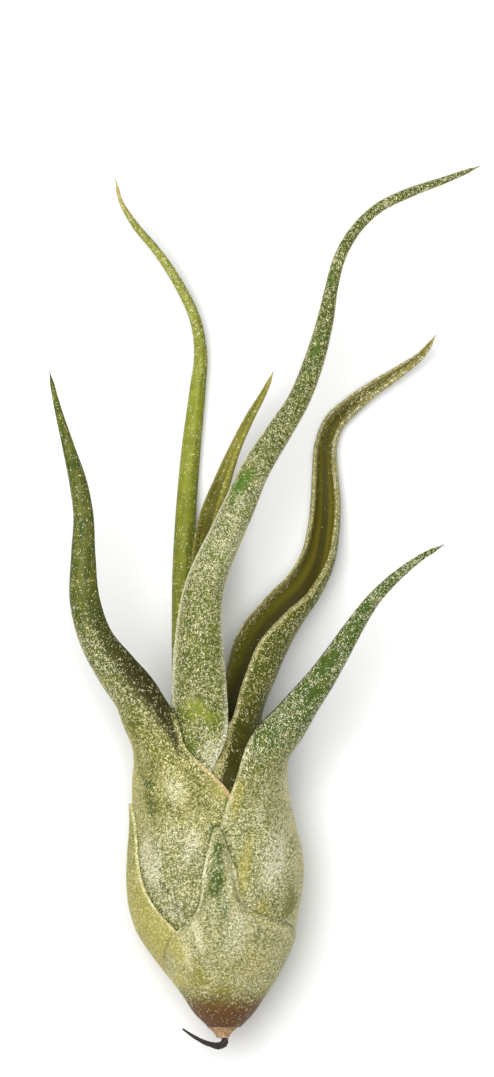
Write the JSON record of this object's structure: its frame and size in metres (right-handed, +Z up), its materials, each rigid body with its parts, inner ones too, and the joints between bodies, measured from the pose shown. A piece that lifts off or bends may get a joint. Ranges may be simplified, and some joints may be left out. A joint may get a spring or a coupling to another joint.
{
  "type": "air plant",
  "caption": "Air plant lying on its back: a swollen bulb of overlapping sheaths that run out into long, twisting, channelled leaves, with two short bracts and a dry root.",
  "frame": {"origin": "middle of the plant's length and width, on the surface it lies on", "axes": "+Y along the bulb's axis from the root end to the leaf tips, +Z up from the surface, +X to the plant's right seen from above with the tips away from the viewer"},
  "size_m": [0.083, 0.1702, 0.033],
  "materials": {
    "bract_front": "matte",
    "bract_left": "matte",
    "leaf_right": "matte",
    "leaf_left": "matte",
    "leaf_back": "matte",
    "leaf_front": "matte",
    "leaf_channelled": "matte",
    "leaf_short": "matte",
    "stem": "matte",
    "root_strand": "matte"
  },
  "bodies": {
    "root": {"bract_front": "bract_front", "bract_left": "bract_left", "leaf_right": "leaf_right", "leaf_left": "leaf_left", "leaf_back": "leaf_back", "leaf_front": "leaf_front", "leaf_channelled": "leaf_channelled", "leaf_short": "leaf_short", "stem": "stem", "root_strand": "root_strand"}
  },
  "joints": []
}
